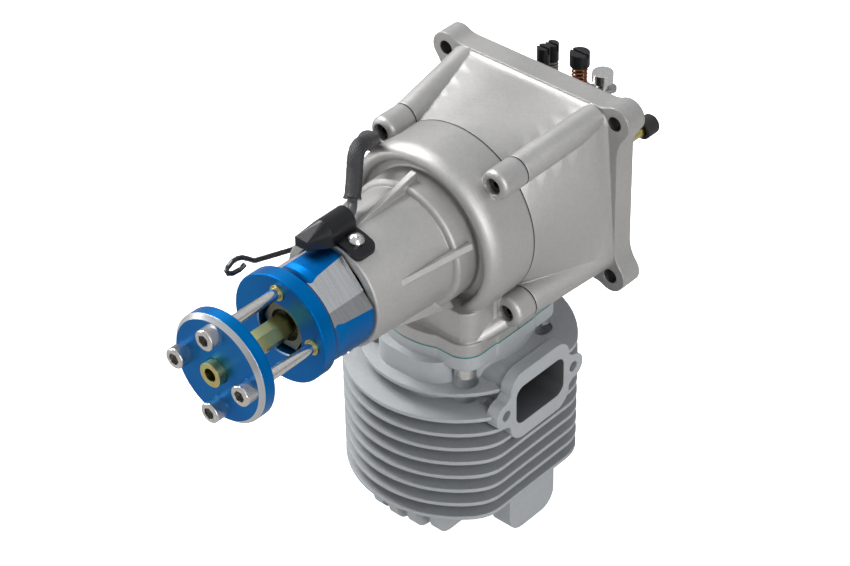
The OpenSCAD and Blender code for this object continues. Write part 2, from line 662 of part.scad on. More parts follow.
module shaft_seal() color([0.35, 0.12, 0.08]) turn_y() polygon([[15.95, main_y - 6], [15.95, main_y - 1], [14.5, main_y - 1],
    [14.5, main_y - 4.8], [10, main_y - 4.6], [shaft_d / 2 + 0.1, main_y - 1.6], [shaft_d / 2 + 0.1, main_y - 2.2],
    [9.4, main_y - 6]]);

module crankshaft() color(steel) {
    difference() {
        union() {
            rod_y(shaft_d / 2, front_y - 0.6, web_front + eps);
            rod_y(7.5, hub_y + 12, front_y);
            rod_y(6, hub_y + 7, hub_y + 13);
            rod_y(12, wall_y, web_front + eps);
            along_y(web_front, web_back) difference() {
                circle(chamber_r - 1);
                for (s = [-1, 1]) translate([s * 21, 2 - 14]) rotate(s * -28) rrect(13, 34, 5);
            }
        }
        rod_y(3.1, hub_y + 6, hub_y + 24);
    }
}

// Propeller hub: flanged front, hollow neck, three wrench flats milled from the rear
module hub_profile() polygon(concat([[0, hub_y], [hub_flange_r - 0.4, hub_y], [hub_flange_r, hub_y + 0.4], [hub_flange_r, hub_y + 5.6]],
    arc([hub_flange_r + 0.4, hub_y + 9.4], [2.3, 3.4], 230, 180, 5), [[hub_r - 0.6, hub_y + 12], [hub_r, hub_back - 0.3],
    [hub_r - 0.3, hub_back], [0, hub_back]]));
module hub_flat(a, depth = flat_d) rotate([0, -a, 0]) {
    translate([depth, hub_back - 8.9, 0]) rotate([0, 90, 0]) linear_extrude(8) rrect(24, 18, 2.6);
    box([depth, hub_back - 4, -12], [depth + 8, hub_back + 1, 12]);
}
module prop_hub() color(anodised) difference() {
    turn_y() hub_profile();
    for (k = [0:2]) hub_flat(42.5 + 90 * k);
    rotate([0, -42.5, 0]) translate([flat_d - 0.25, hub_back - 17.5, -12]) cube([1, 18.5, 8.2]);
    rod_y(recess_r, hub_y - 1, hub_y + 9);
    turn_y() polygon([[0, hub_y - 1], [recess_r + 1.4, hub_y - 1], [recess_r, hub_y + 0.4], [0, hub_y + 0.4]]);
    rod_y(7.55, hub_y + 8, hub_back + 1);
    for (a = [0, 90]) rotate([0, -a, 0]) {
        rod_y(insert_r + 0.05, hub_y - 1, hub_y + 10, bolt_pcd / 2, 0);
        rod_y(bolt_d / 2 + 0.1, hub_y + 9, hub_y + 17, bolt_pcd / 2, 0);
    }
    for (a = [180, 270]) rotate([0, -a, 0]) rod_y(1.25, hub_y - 1, hub_y + 5, bolt_pcd / 2, 0);
    rotate([0, 47.5, 0]) rod_x(2.05, hub_r - 3.2, hub_r + 2, hub_back - 7, 0);
}

module hub_nut() color(brass) difference() {
    union() {
        hex_y(16.4, hub_y + 2.6, hub_y + 7.6);
        rod_y(recess_r - 0.15, hub_y + 7.6, hub_y + 9);
    }
    rod_y(6.05, hub_y + 2, hub_y + 10);
}
module hub_inserts() color(brass) for (a = [0, 90]) rotate([0, -a, 0]) difference() {
    rod_y(insert_r, hub_y - 0.5, hub_y + 10, bolt_pcd / 2, 0);
    rod_y(bolt_d / 2 + 0.06, hub_y - 2, hub_y + 11, bolt_pcd / 2, 0);
}
module hub_pins() color(steel) for (a = [180, 270]) rotate([0, -a, 0]) translate([bolt_pcd / 2, 0, 0]) {
    rod_y(1.2, hub_y - 1.2, hub_y + 5);
    translate([0, hub_y - 1.2, 0]) sphere(1.2, $fn = 32);
}
module hub_magnet() color(steel) rotate([0, 47.5, 0]) rod_x(2, hub_r - 3.2, hub_r - 0.15, hub_back - 7, 0);

module prop_washer() color(anodised) difference() {
    turn_y() polygon([[0, washer_y], [washer_r - 1.6, washer_y], [washer_r, washer_y + 1.6], [washer_r, washer_back], [0, washer_back]]);
    rod_y(4.75, washer_y - 1, washer_back + 1);
    for (a = [0:90:270]) rotate([0, -a, 0]) rod_y(bolt_d / 2 + 0.2, washer_y - 1, washer_back + 1, bolt_pcd / 2, 0);
}

module prop_bolts() color(steel) for (a = [0:90:270]) rotate([0, -a, 0]) translate([bolt_pcd / 2, 0, 0])
    socket_screw(washer_y - 5, a < 135 ? hub_y + 16 : washer_back + 2, bolt_d / 2, bolt_head_d / 2, 5, 4);

module spinner_stud() color(brass) difference() {
    union() {
        rod_y(4.55, washer_y - 3.2, washer_back);
        hex_y(stud_af, washer_back - eps, hub_y + 2.4);
        rod_y(3, hub_y + 2.3, hub_y + 20);
    }
    rod_y(spinner_d / 2, washer_y - 4, washer_y + 12);
}

module at_pin(z) translate([0, cyl_y, z]) children();
module crankpin() color(steel) at_pin(-crank_throw) difference() {
    rod_y(pin_d / 2, -rod_w / 2, rod_w / 2 + 1);
    rod_y(2.5, -rod_w / 2 + 2, rod_w / 2 + 2);
}
module needle_ring(r0, r1, half) difference() {
    rod_y(r1, -half, half);
    rod_y(r0, -half - 1, half + 1);
}
module rod_bearings() color(brass) {
    at_pin(-crank_throw) needle_ring(pin_d / 2 + 0.03, pin_d / 2 + 2, rod_w / 2 - 0.3);
    at_pin(wrist_z) needle_ring(wrist_d / 2 + 0.03, wrist_d / 2 + 1.6, rod_w / 2 - 0.3);
}
module connecting_rod() color(steel) difference() {
    union() {
        at_pin(-crank_throw) rod_y(11, -rod_w / 2, rod_w / 2);
        at_pin(wrist_z) rod_y(9.4, -rod_w / 2, rod_w / 2);
        along_y(cyl_y - rod_w / 2 + 1.2, cyl_y + rod_w / 2 - 1.2)
            polygon([[-6.5, -crank_throw - 6], [6.5, -crank_throw - 6], [4.8, wrist_z + 6], [-4.8, wrist_z + 6]]);
    }
    at_pin(-crank_throw) rod_y(pin_d / 2 + 2.03, -9, 9);
    at_pin(wrist_z) rod_y(wrist_d / 2 + 1.63, -9, 9);
    for (s = [-1, 1]) translate([0, cyl_y + s * 4.2, 0]) along_y(-1.4, 1.4)
        polygon([[-3.2, -crank_throw - 13], [3.2, -crank_throw - 13], [2.2, wrist_z + 11], [-2.2, wrist_z + 11]]);
}
module wrist_pin() color(steel) at_pin(wrist_z) difference() {
    rod_y(wrist_d / 2, -bore_r + 3, bore_r - 3);
    rod_y(wrist_d / 2 - 2.2, -bore_r, bore_r);
}
module pin_clips() color(steel) at_pin(wrist_z) for (s = [0, 1]) mirror([0, s, 0]) difference() {
    rod_y(wrist_d / 2 + 0.4, bore_r - 2.9, bore_r - 1.9);
    rod_y(wrist_d / 2 - 0.8, bore_r - 4, bore_r);
    box([-2, bore_r - 4, 0], [2, bore_r, 8]);
}
module piston() color(steel) difference() {
    r = bore_r - run_gap;
    rod_z(r, crown_z, wrist_z + skirt_h, 0, cyl_y);
    rod_z(r - 3, crown_z + 6, wrist_z + skirt_h + 1, 0, cyl_y);
    for (z = [3, 6.6]) translate([0, cyl_y, crown_z + z]) rotate_extrude() translate([r - 1.9, 0]) square([4, 1.3]);
    at_pin(wrist_z) rod_y(wrist_d / 2 + 0.02, -bore_r - 1, bore_r + 1);
    at_pin(wrist_z) for (s = [0, 1]) mirror([0, s, 0]) rod_y(wrist_d / 2 + 0.42, bore_r - 2.92, bore_r - 1.85);
    for (s = [-1, 1]) translate([s * bore_r, cyl_y, wrist_z + skirt_h]) rotate([90, 0, 0]) cylinder(r = 7, h = 22, center = true);
}
module piston_rings() color(dark) for (z = [3, 6.6]) translate([0, cyl_y, crown_z + z + 0.05]) difference() {
    rod_z(bore_r - run_gap + 0.02, 0, 1.2);
    rod_z(bore_r - 1.9, -1, 2);
    box([-0.4, 10, -1], [0.4, 30, 2]);
}

// Reed valve: a wedge of windows pointing into the crank chamber
wedge_len = 20;
wedge_a = atan2(11.5, wedge_len);
module reed_faces() for (s = [0, 1]) mirror([0, 0, s]) translate([0, reed_y - wedge_len, 1.2]) rotate([wedge_a, 0, 0]) children();
module reed_block() color([0.2, 0.2, 0.22]) at_intake() difference() {
    union() {
        along_y(reed_y, block_y - 0.5) rrect(46, 34, 4);
        rotate([90, 0, 90]) translate([0, 0, -14]) linear_extrude(28)
            polygon([[reed_y - wedge_len, -1.2], [reed_y + eps, -12.7], [reed_y + eps, 12.7], [reed_y - wedge_len, 1.2]]);
    }
    rotate([90, 0, 90]) translate([0, 0, -12.5]) linear_extrude(25)
        polygon([[reed_y - wedge_len + 4, -0.9], [block_y, -13], [block_y, 13], [reed_y - wedge_len + 4, 0.9]]);
    reed_faces() for (x = [-7.6, 0.6]) translate([x - 2.7 + 0.8, 5, -3]) cube([8, 13, 6]);
    for (x = [-1, 1]) rod_y(2.2, reed_y - 1, block_y, x * block_screw_x, 0);
}
module reed_petals() color([0.12, 0.12, 0.12]) at_intake() reed_faces() {
    translate([-12, 2, 0.05]) cube([24, 19, 0.4]);
    translate([-12, 16, 0.5]) cube([24, 5, 0.8]);
}
module intake_gaskets() color([0.6, 0.5, 0.35]) at_intake() {
    along_y(block_y - 0.5, block_y) difference() {
        rrect(46, 34, 4);
        circle(11);
        for (x = [-1, 1]) translate([x * block_screw_x, 0]) circle(2.2);
    }
    along_y(carb_y, carb_y + 0.5) difference() {
        rrect(carb_w, carb_h, 2.5);
        circle(throttle_d / 2 + 0.4);
        for (x = [-1, 1]) translate([x * carb_bolt_x, 0]) circle(2.2);
    }
}
module intake_block() color([0.05, 0.05, 0.05]) at_intake() difference() {
    along_y(block_y, carb_y) rrect(46, 34, 4);
    rod_y(throttle_d / 2 + 0.2, block_y - 1, carb_y + 1);
    turn_y() polygon([[0, block_y - 1], [10.5, block_y - 1], [throttle_d / 2 + 0.2, block_y + 6], [0, block_y + 6]]);
    for (x = [-1, 1]) {
        rod_y(2.2, block_y - 1, carb_y + 1, x * block_screw_x, 0);
        rod_y(3.3, carb_y - 3.8, carb_y + 1, x * block_screw_x, 0);
        rod_y(2.05, block_y + 1, carb_y + 1, x * carb_bolt_x, 0);
    }
}

module carb_body() color([0.55, 0.56, 0.57]) at_intake() difference() {
    y0 = carb_y + 0.5;
    half = carb_h / 2;
    union() {
        along_y(y0, carb_back) rrect(carb_w, carb_h, 2.5);
        rod_y(choke_d / 2 + 2.2, carb_back - 1, carb_back + 2.4);
        rod_z(4.2, -half - 0.8, idle_lug, 0, throttle_y);
        rod_z(4.4, -half - 0.8, -half + 1, 0, choke_y);
        rod_z(4.2, half - 1, idle_lug, idle_at[0], idle_at[1]);
        for (y = needle_y) rod_z(2.5, half - 1, needle_lug, needle_x, y);
        box([needle_x - 2.2, needle_y[0], half - 1], [needle_x + 2.2, needle_y[1], needle_lug]);
    }
    rod_y(throttle_d / 2, y0 - 1, carb_y + 13);
    turn_y() polygon([[0, carb_y + 12.9], [throttle_d / 2, carb_y + 12.9], [5.8, carb_y + 15.5], [5.8, carb_y + 16.3],
        [choke_d / 2, carb_y + 19], [choke_d / 2, carb_back + 1], [choke_d / 2 + 1.2, carb_back + 3], [0, carb_back + 3]]);
    rod_z(spindle_d / 2 + run_gap, -30, 30, 0, throttle_y);
    rod_z(spindle_d / 2 + run_gap, -30, half - 2.1, 0, choke_y);
    for (x = [-1, 1]) {
        rod_y(2.2, y0 - 1, carb_back + 1, x * carb_bolt_x, 0);
        rod_y(3.15, carb_back - 4, carb_back + 1, x * carb_bolt_x, 0);
    }
    for (y = needle_y) rod_z(1.6, 5, 30, needle_x, y);
    rod_z(1.6, half - 1.3, 30, idle_at[0], idle_at[1]);
}
module carb_bolts() color(steel) at_intake() for (x = [-1, 1]) mirror([0, 1, 0]) {
    translate([x * carb_bolt_x, 0, 0]) socket_screw(-carb_back + 0.2, -block_y - 2, 2, 3, 3.8, 3);
    translate([x * block_screw_x, 0, 0]) socket_screw(-carb_y + 0.2, -reed_y + 6, 2, 3.2, 3.6, 3);
}

module spindle(y, z0, z1, plate_a) difference() {
    rod_z(spindle_d / 2, z0, z1, 0, y);
    translate([0, y, 0]) rotate([0, 0, plate_a]) box([-5, -0.6, -9], [5, 0.6, 9]);
}
lever_z = 24.4;
module throttle_shaft() color(steel) at_intake() spindle(throttle_y, -carb_h / 2 - 1.2, lever_z + 1.9, 0);
module choke_shaft() color(steel) at_intake() spindle(choke_y, -carb_h / 2 - 3, carb_h / 2 - 2.3, 90);
module throttle_plate() color(brass) at_intake() translate([0, throttle_y, 0]) rod_y(throttle_d / 2 - 0.1, -0.5, 0.5);
module choke_plate() color(brass) at_intake() translate([0, choke_y, 0]) rod_x(choke_d / 2 - 0.1, -0.5, 0.5);

lever_a = 50.4;
lever_len = 21.2;
swivel_r = 18.8;
module throttle_lever() color([0.5, 0.5, 0.5]) at_intake() translate([0, throttle_y, lever_z]) rotate([0, 0, lever_a]) difference() {
    linear_extrude(1.3) union() {
        circle(3.9);
        polygon([[0, -3.9], [lever_len, -2.8], [lever_len, 2.8], [0, 3.9]]);
        translate([lever_len, 0]) circle(2.8);
    }
    rod_z(spindle_d / 2 + 0.03, -1, 3);
    rod_z(1.5, -1, 3, swivel_r, 0);
    for (x = [8, 13.4]) rod_z(1.1, -1, 3, x, 0);
}
module lever_swivel() color(steel) at_intake() translate([0, throttle_y, lever_z]) rotate([0, 0, lever_a])
    translate([swivel_r, 0, 0]) {
        rod_z(1.42, -0.6, 1.6);
        rod_z(2.5, 1.35, 4.2);
        rod_z(3.9, 4.1, 7.8);
    }

choke_arm = 9.86;
choke_a = 142.5;
pin_x = intake_at[0] + choke_arm * cos(choke_a);
pin_y = choke_y + choke_arm * sin(choke_a);
module choke_lever() color([0.5, 0.5, 0.5]) at_intake() translate([0, choke_y, -carb_h / 2 - 2.3]) rotate([0, 0, choke_a]) difference() {
    linear_extrude(1.3) union() {
        circle(4.6);
        polygon([[0, -4.6], [11.6, -3.1], [11.6, 3.1], [0, 4.6]]);
        translate([11.6, 0]) circle(3.1);
    }
    rod_z(spindle_d / 2 + 0.03, -1, 3);
    along_z(-1, 3) {
        translate([7.7, -wire_d / 2 - 0.45]) square([2.2, wire_d + 0.9]);
        for (x = [7.7, 9.9]) translate([x, 0]) circle(wire_d / 2 + 0.45);
    }
}

// Choke pull wire: stiff steel, bent by hand, ending in an open finger loop
wire_z = intake_at[2] - carb_h / 2 - 5;
wire_x = -42.8;
wire_side = -14;
wire_bends = [[pin_x, pin_y, wire_z + 4.6], [pin_x, pin_y, wire_z + 1.2], [pin_x - 1.2, pin_y, wire_z], [wire_x + 1.2, pin_y, wire_z],
    [wire_x, pin_y - 1.2, wire_z + 0.8], [wire_x, pin_y - 8, wire_side - 1], [wire_x, pin_y - 9.6, wire_side], [wire_x, -20, wire_side],
    [wire_x, -57, wire_side], [wire_x + 0.6, -60, wire_side + 0.5], [-30, -98.7, -2.6], [-29.6, -101, -1.9], [-28.7, -118.6, 4],
    [-28.6, -119.8, 4.6], [-28.4, -122.7, 7.1], [-28.2, -125.4, 9.2], [-28, -127.9, 10.3], [-27.8, -130.6, 10.5], [-27.5, -132.8, 9.9],
    [-27.3, -134, 8.9], [-27, -133.6, 7.7], [-26.7, -131.6, 6.8], [-26.4, -128.6, 6.8], [-26.1, -126.3, 7.9]];
module choke_wire() color([0.25, 0.25, 0.26]) sweep(wire_bends, wire_d / 2);

module slotted_head(z0, z1, r, deep) difference() {
    rod_z(r, z0, z1);
    box([-r - 1, -0.5, z1 - deep], [r + 1, 0.5, z1 + 1]);
}
module needle(x, y, top) at_intake() translate([x, y, 0]) {
    rod_z(1.5, 6, top - 6);
    translate([0, 0, 5.1]) cylinder(r1 = 0.3, r2 = 1.5, h = 0.91);
    slotted_head(top - 7, top, 2.45, 2.8);
}
module low_needle() color(dark) needle(needle_x, needle_y[0], needle_top[0]);
module high_needle() color(dark) needle(needle_x, needle_y[1], needle_top[1]);
module idle_screw() color(dark) at_intake() translate([idle_at[0], idle_at[1], 0]) {
    rod_z(1.5, carb_h / 2 - 1, 31.5);
    slotted_head(31, 36.3, 3.7, 1.8);
}
module coil(x, y, z0, z1, r, turns) translate([x, y, 0])
    sweep([for (k = [0:turns * 10]) [r * cos(36 * k), r * sin(36 * k), z0 + (z1 - z0) * k / (turns * 10)]], 0.45, 6, [0, 0, 1]);
module screw_springs() color([0.62, 0.36, 0.22]) at_intake() {
    coil(idle_at[0], idle_at[1], idle_lug + 0.5, 30.4, 2.6, 5);
    coil(needle_x, needle_y[0], needle_lug + 0.5, needle_top[0] - 7.5, 2.05, 4);
    coil(needle_x, needle_y[1], needle_lug + 0.5, needle_top[1] - 7.5, 2.05, 4);
}

cover_y = carb_y + 14;
cover_t = 3.4;
module carb_cover(x0) {
    out = x0 > 0 ? x0 + cover_t - 1 : x0 - 1.3;
    translate([x0, cover_y, 0]) rotate([90, 0, 90]) linear_extrude(cover_t) rrect(25, 25, 3);
    rod_x(7.5, out, out + 2.3, cover_y, 0);
}
nipple_at = [22, 21.5, 6.2];
module pump_cover() color([0.45, 0.46, 0.47]) at_intake() difference() {
    union() {
        carb_cover(carb_w / 2);
        rod_x(2.6, carb_w / 2 + cover_t, carb_w / 2 + cover_t + 3, cover_y, 0);
        box([carb_w / 2 + 2, cover_y + 1, nipple_at[2] - 2.9], [nipple_at[0] + 2.2, nipple_at[1], nipple_at[2] + 2.9]);
    }
    rod_y(1.9, nipple_at[1] - 4, nipple_at[1] + 1, nipple_at[0], nipple_at[2]);
}
module metering_cover() color([0.45, 0.46, 0.47]) at_intake() difference() {
    union() {
        carb_cover(-carb_w / 2 - cover_t);
        for (y = [-1, 1], z = [-1, 1])
            rod_x(2.1, -carb_w / 2 - cover_t - 1.3, -carb_w / 2 - 1, cover_y + y * 9.4, z * 9.4);
    }
    rod_x(1, -carb_w / 2 - 6, -carb_w / 2 - 1, cover_y, 0);
}
module fuel_nipple() color([0.85, 0.75, 0.2]) at_intake() translate(nipple_at) difference() {
    turn_y() polygon([[0, -3.7], [1.85, -3.7], [1.85, 0], [2.3, 0], [2.3, 2], [2, 2.2], [2, 10], [2.4, 10.2], [2, 12], [1.7, 14.4], [0, 14.4]]);
    rod_y(0.9, -4, 15);
}
module nipple_cap() color(dark) at_intake() translate(nipple_at) difference() {
    turn_y() polygon([[0, 12], [3.6, 12], [3.9, 12.3], [3.9, 17.9], [3.4, 18.5], [0, 18.5]]);
    rod_y(2.5, 11, 14.8);
}

front_crankcase();
rear_crankcase();
crankcase_gasket();
case_screws();
finned_cylinder();
cylinder_gasket();
cylinder_bolts();
hall_sensor();
sensor_bracket();
bracket_screw();
sensor_lead();
sensor_sleeve();
lead_tail();
sensor_plug();
lead_clip();
front_bearing_outer();
front_bearing_inner();
front_bearing_balls();
main_bearing_outer();
main_bearing_inner();
main_bearing_balls();
shaft_seal();
crankshaft();
prop_hub();
hub_nut();
hub_inserts();
hub_pins();
hub_magnet();
prop_washer();
prop_bolts();
spinner_stud();
crankpin();
rod_bearings();
connecting_rod();
wrist_pin();
pin_clips();
piston();
piston_rings();
reed_block();
reed_petals();
intake_block();
intake_gaskets();
carb_body();
carb_bolts();
throttle_shaft();
throttle_plate();
throttle_lever();
lever_swivel();
choke_shaft();
choke_plate();
choke_lever();
choke_wire();
idle_screw();
screw_springs();
low_needle();
high_needle();
pump_cover();
metering_cover();
fuel_nipple();
nipple_cap();
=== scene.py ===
import json
import math

import bmesh
import bpy
from mathutils import Matrix, Vector

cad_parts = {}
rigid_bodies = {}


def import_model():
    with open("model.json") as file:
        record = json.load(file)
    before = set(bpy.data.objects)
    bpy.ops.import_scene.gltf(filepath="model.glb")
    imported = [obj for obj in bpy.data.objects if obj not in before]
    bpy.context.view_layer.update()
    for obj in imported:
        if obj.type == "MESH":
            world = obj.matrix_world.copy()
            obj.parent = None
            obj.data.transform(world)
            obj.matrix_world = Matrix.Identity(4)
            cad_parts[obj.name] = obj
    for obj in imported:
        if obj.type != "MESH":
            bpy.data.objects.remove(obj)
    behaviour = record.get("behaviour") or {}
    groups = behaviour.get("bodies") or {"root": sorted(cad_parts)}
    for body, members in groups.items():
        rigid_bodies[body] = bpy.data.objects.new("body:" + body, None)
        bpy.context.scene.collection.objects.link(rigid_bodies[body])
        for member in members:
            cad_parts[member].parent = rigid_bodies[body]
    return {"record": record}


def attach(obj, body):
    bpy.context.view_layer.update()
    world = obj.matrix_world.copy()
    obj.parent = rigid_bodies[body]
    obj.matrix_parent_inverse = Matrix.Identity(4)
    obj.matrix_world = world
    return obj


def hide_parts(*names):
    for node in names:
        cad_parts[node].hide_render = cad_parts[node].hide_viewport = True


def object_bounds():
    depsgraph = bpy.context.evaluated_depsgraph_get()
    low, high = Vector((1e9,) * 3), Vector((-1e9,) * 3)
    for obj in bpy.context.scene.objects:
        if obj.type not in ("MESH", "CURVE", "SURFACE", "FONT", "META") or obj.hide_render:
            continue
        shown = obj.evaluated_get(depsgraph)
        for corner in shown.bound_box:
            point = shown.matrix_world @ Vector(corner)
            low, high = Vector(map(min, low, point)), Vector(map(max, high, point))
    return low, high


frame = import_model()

cad_lo, cad_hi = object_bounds()

MM_PER_M = 1000

# Camera, as fitted to the photograph
AZIMUTH, ELEVATION, ROLL = math.radians(42.262), math.radians(36.777), math.radians(-1.141)
DISTANCE_MM = 1011.5
FOCAL_PX, PHOTO_WIDTH_PX = 2812.73, 850
RIGHT_PX, UP_PX = 115.51, -129.60
AIM_MM = Vector((0, -2, 0))
SENSOR_MM = 36

level = math.cos(ELEVATION)
back = Vector((math.sin(AZIMUTH) * level, -math.cos(AZIMUTH) * level, math.sin(ELEVATION)))
right = Vector((math.cos(AZIMUTH), math.sin(AZIMUTH), 0))
up = back.cross(right)
roll_c, roll_s = math.cos(ROLL), math.sin(ROLL)
frame_right = roll_c * right + roll_s * up
frame_up = -roll_s * right + roll_c * up
aside = (RIGHT_PX * DISTANCE_MM / FOCAL_PX) * frame_right
above = (UP_PX * DISTANCE_MM / FOCAL_PX) * frame_up
eye = (DISTANCE_MM * back - aside + above + AIM_MM) / MM_PER_M

cam_data = bpy.data.cameras.new("photo_camera")
cam_data.sensor_fit = "HORIZONTAL"
cam_data.sensor_width = SENSOR_MM
cam_data.lens = FOCAL_PX / PHOTO_WIDTH_PX * SENSOR_MM
cam_data.clip_start, cam_data.clip_end = 0.01, 20
cam = bpy.data.objects.new("photo_camera", cam_data)
bpy.context.scene.collection.objects.link(cam)
rows = [(frame_right[i], frame_up[i], back[i], eye[i]) for i in range(3)]
cam.matrix_world = Matrix(rows + [(0, 0, 0, 1)])
bpy.context.scene.camera = cam
bpy.context.scene.view_settings.view_transform = "Standard"

# Places where a finish or a painted shade changes, in metres
# The exhaust port's box and, along X, where its painted shade starts, is darkest and ends
PORT_Y, PORT_Z = -0.047, -0.0622
PORT_HALF_Y, PORT_HALF_Z = 0.0134, 0.0084
SHADE_START, SHADE_DARKEST, SHADE_END, PORT_MOUTH = 0.02, 0.024, 0.0378, 0.0379
HOLE_X, HOLE_Z, HOLE_R = 0.0385, 0.0325, 0.0028
WASHER_EDGE_R = 0.0187
FLAT_INNER, FLAT_OUTER, FLAT_FRONT_Y = 0.0162, 0.0172, -0.1312
DEEP_CUT = -0.0038
LIP_R = 0.0106
RECESS_R, RECESS_FRONT_Y = 0.00985, -0.1366
BOLT_OFFSET = 0.015
HEAD_FRONT_Y, HEAD_BACK_Y = -0.1705, -0.1668
COPPER_FROM_X = -0.01

# The hub's three milled flats, in degrees from +X to +Z; the first one is in front
HUB_FLATS = (42.5, 132.5, 222.5)
# The least cosine between a face and a flat's direction
FLAT_FACING = 0.99
# How far a chamfer's normal leans to the axis: its least and greatest Y
CHAMFER = (0.3, 0.95)

# Materials
MATS = {}


class Tree:
    """A material's node tree, built in short lines. The material goes into MATS."""

    def __init__(self, name, rough, metal=0.0, spec=0.5):
        material = bpy.data.materials.new(name)
        material.use_nodes = True
        self.tree = material.node_tree
        self.tree.nodes.clear()
        out = self.tree.nodes.new("ShaderNodeOutputMaterial")
        self.shader = self.tree.nodes.new("ShaderNodeBsdfPrincipled")
        self.link(self.shader.outputs[0], out.inputs[0])
        self.shader.inputs["Roughness"].default_value = rough
        self.shader.inputs["Metallic"].default_value = metal
        self.shader.inputs["Specular IOR Level"].default_value = spec
        self.coord = self.tree.nodes.new("ShaderNodeTexCoord").outputs["Object"]
        MATS[name] = material

    def link(self, a, b):
        self.tree.links.new(a, b)

    def node(self, kind, **values):
        n = self.tree.nodes.new(kind)
        for k, v in values.items():
            setattr(n, k, v)
        return n

    def put(self, socket, value):
        if hasattr(value, "is_output"):
            self.link(value, socket)
        else:
            socket.default_value = value

    def scaled(self, x, y, z):
        n = self.node("ShaderNodeMapping")
        n.inputs["Scale"].default_value = (x, y, z)
        self.link(self.coord, n.inputs["Vector"])
        return n.outputs[0]

    def noise(self, scale, detail=2.0, rough=0.5, vector=None):
        n = self.node("ShaderNodeTexNoise")
        n.inputs["Scale"].default_value = scale
        n.inputs["Detail"].default_value = detail
        n.inputs["Roughness"].default_value = rough
        self.link(vector or self.coord, n.inputs["Vector"])
        return n.outputs["Fac"]

    def math(self, op, a, b=0.0, c=0.0, clamp=False):
        n = self.node("ShaderNodeMath", operation=op, use_clamp=clamp)
        for i, v in enumerate((a, b, c)):
            self.put(n.inputs[i], v)
        return n.outputs[0]

    def over(self, v, limit):
        return self.math("GREATER_THAN", v, limit)

    def under(self, v, limit):
        return self.math("LESS_THAN", v, limit)

    def size(self, v):
        return self.math("ABSOLUTE", v)

    def times(self, first, *others):
        """A product. Of masks it is the place where all of them hold."""
        for v in others:
            first = self.math("MULTIPLY", first, v)
        return first

    def length(self, a, b):
        return self.math("SQRT", self.math("ADD", self.times(a, a), self.times(b, b)))

    def toward(self, a, b, angle):
        """How far the point or normal (a, b) reaches in the direction of an angle in degrees."""
        c, s = math.cos(math.radians(angle)), math.sin(math.radians(angle))
        return self.math("ADD", self.times(a, c), self.times(b, s))

    def range(self, v, a, b, c=0.0, d=1.0):
        n = self.node("ShaderNodeMapRange", clamp=True)
        for i, x in enumerate((v, a, b, c, d)):
            self.put(n.inputs[i], x)
        return n.outputs[0]

    def mix(self, fac, a, b):
        n = self.node("ShaderNodeMix", data_type="RGBA")
        self.put(n.inputs[0], fac)
        for i, v in ((6, a), (7, b)):
            if not hasattr(v, "is_output") and len(v) == 3:
                v = (*v, 1.0)
            self.put(n.inputs[i], v)
        return n.outputs[2]

    def blend(self, fac, a, b):
        n = self.node("ShaderNodeMix", data_type="FLOAT")
        self.put(n.inputs[0], fac)
        self.put(n.inputs[2], a)
        self.put(n.inputs[3], b)
        return n.outputs[0]

    def xyz(self):
        n = self.node("ShaderNodeSeparateXYZ")
        self.link(self.coord, n.inputs[0])
        return n.outputs

    def normal(self):
        """The face's own normal in the object's axes."""
        g = self.node("ShaderNodeNewGeometry")
        t = self.node("ShaderNodeVectorTransform", vector_type="NORMAL",
                      convert_from="WORLD", convert_to="OBJECT")
        self.link(g.outputs["True Normal"], t.inputs[0])
        n = self.node("ShaderNodeSeparateXYZ")
        self.link(t.outputs[0], n.inputs[0])
        return n.outputs

    def bevel(self, radius):
        n = self.node("ShaderNodeBevel", samples=4)
        n.inputs["Radius"].default_value = radius
        return n.outputs[0]

    def bump(self, height, strength, distance, normal=None):
        n = self.node("ShaderNodeBump")
        n.inputs["Strength"].default_value = strength
        n.inputs["Distance"].default_value = distance
        self.link(height, n.inputs["Height"])
        if normal is not None:
            self.link(normal, n.inputs["Normal"])
        self.link(n.outputs[0], self.shader.inputs["Normal"])

    def colour(self, v):
        self.put(self.shader.inputs["Base Color"], v)

    def rough(self, v):
        self.put(self.shader.inputs["Roughness"], v)


def tints(base, low, high, lift=0.0):
    """A colour made darker and made paler."""
    return tuple(v * low for v in base), tuple(min(1.0, v * high + lift) for v in base)


def chamfer(t, n):
    slope = t.size(n[1])
    return t.times(t.over(slope, CHAMFER[0]), t.under(slope, CHAMFER[1]))


# The next six functions take the place x, y, z, the distance r from the crank axis and the
# normal n, and give how far a finish or a painted shade applies there, from 0 to 1
def no_shade(t, x, y, z, r, n):
    return 0.0


def port_shade(t, x, y, z, r, n):
    """Painted shade inside the exhaust port, darker towards the bore."""
    side = t.under(t.size(t.math("ADD", y, -PORT_Y)), PORT_HALF_Y)
    height = t.under(t.size(t.math("ADD", z, -PORT_Z)), PORT_HALF_Z)
    painted_shade = t.range(x, SHADE_DARKEST, PORT_MOUTH, 0.96, 0.7)
    return t.times(side, height, t.under(x, SHADE_END), painted_shade, t.over(x, SHADE_START))


def hole_shade(t, x, y, z, r, n):
    """Painted shade: dark walls in the four firewall holes."""
    dx = t.math("SUBTRACT", t.size(x), HOLE_X)
    dz = t.math("SUBTRACT", t.size(z), HOLE_Z)
    return t.times(t.under(t.length(dx, dz), HOLE_R), 0.85)


def washer_bare(t, x, y, z, r, n):
    """The washer's edges were turned bright after anodising."""
    return t.times(chamfer(t, n), t.over(r, WASHER_EDGE_R))


def hub_bare(t, x, y, z, r, n):
    """The milled flats, by their normal and distance from the axis, and half of it on the recess's lip."""
    flats = None
    for angle in HUB_FLATS:
        reach = t.toward(x, z, angle)
        facing = t.over(t.toward(n[0], n[2], angle), FLAT_FACING)
        hit = t.times(facing, t.under(reach, FLAT_OUTER), t.over(reach, FLAT_INNER))
        flats = hit if flats is None else t.math("ADD", flats, hit, clamp=True)
    lip = t.times(chamfer(t, n), t.under(r, LIP_R), 0.5)
    return t.math("ADD", t.times(flats, t.over(y, FLAT_FRONT_Y)), lip, clamp=True)


